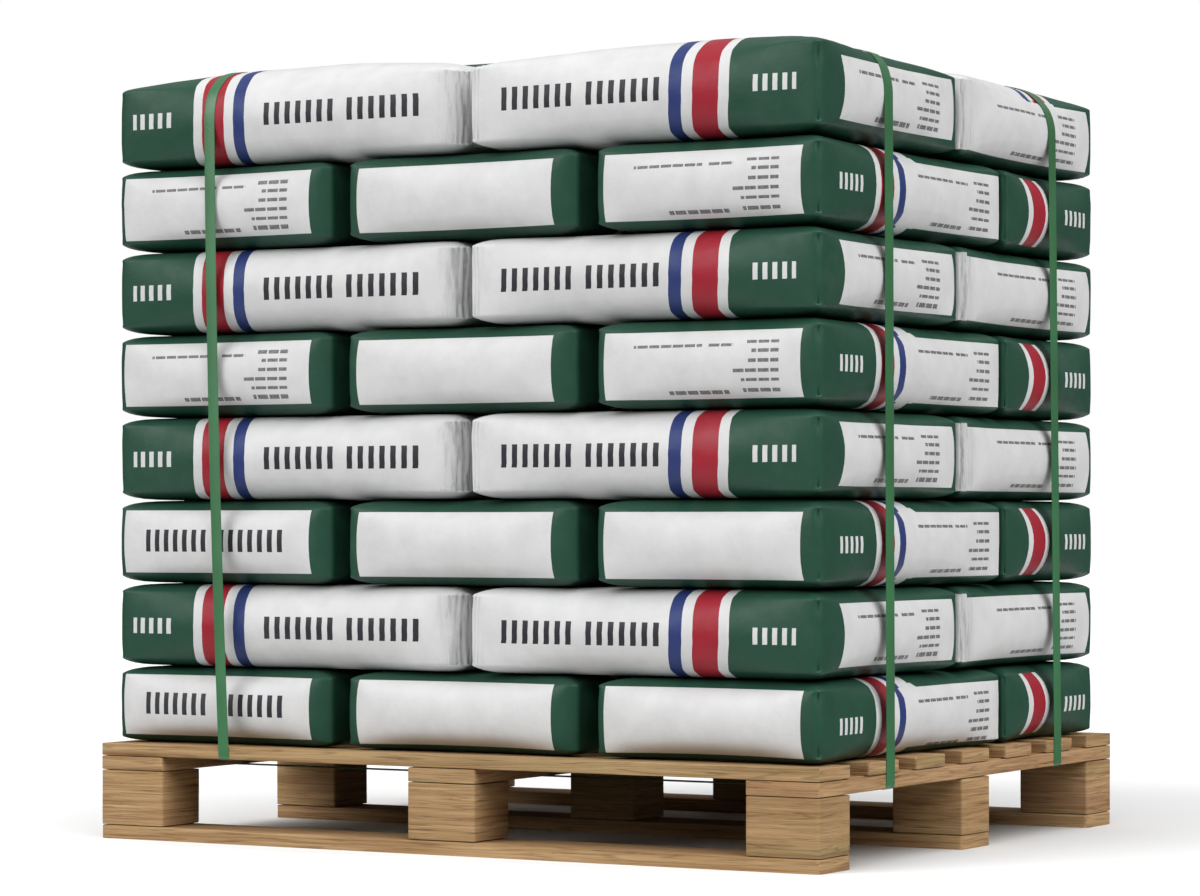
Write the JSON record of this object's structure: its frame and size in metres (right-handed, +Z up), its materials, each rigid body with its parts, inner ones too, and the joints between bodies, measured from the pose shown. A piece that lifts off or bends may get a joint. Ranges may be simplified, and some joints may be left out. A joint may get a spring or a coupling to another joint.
{
  "type": "pallet of sacks",
  "caption": "Wooden four-way pallet loaded with interlocked layers of filled paper sacks, held by taut plastic straps.",
  "frame": {"origin": "on the floor under the centre of the pallet", "axes": "+Z up, +X along the long side of the pallet, -Y towards the front"},
  "size_m": [1.2026, 1.0026, 1.1423],
  "materials": {
    "sack_paper": "coated paper printed in dark green with white panels and red, white and blue stripes, slightly glossy",
    "pallet_wood": "rough-sawn softwood, unfinished",
    "strap_plastic": "green polyester strapping, satin"
  },
  "bodies": {
    "root": {"bottom_board_front": "pallet_wood", "bottom_board_middle": "pallet_wood", "bottom_board_back": "pallet_wood", "block_front_left": "pallet_wood", "block_front_middle": "pallet_wood", "block_front_right": "pallet_wood", "block_middle_left": "pallet_wood", "block_middle_middle": "pallet_wood", "block_middle_right": "pallet_wood", "block_back_left": "pallet_wood", "block_back_middle": "pallet_wood", "block_back_right": "pallet_wood", "stringer_board_left": "pallet_wood", "stringer_board_middle": "pallet_wood", "stringer_board_right": "pallet_wood", "deck_board_1": "pallet_wood", "deck_board_2": "pallet_wood", "deck_board_3": "pallet_wood", "deck_board_4": "pallet_wood", "deck_board_5": "pallet_wood", "deck_board_6": "pallet_wood", "deck_board_7": "pallet_wood", "sack_layer_1": "sack_paper", "sack_layer_2": "sack_paper", "sack_layer_3": "sack_paper", "sack_layer_4": "sack_paper", "sack_layer_5": "sack_paper", "sack_layer_6": "sack_paper", "sack_layer_7": "sack_paper", "sack_layer_8": "sack_paper", "strap_front_to_back": "strap_plastic", "strap_across_front": "strap_plastic", "strap_across_back": "strap_plastic"}
  },
  "joints": []
}
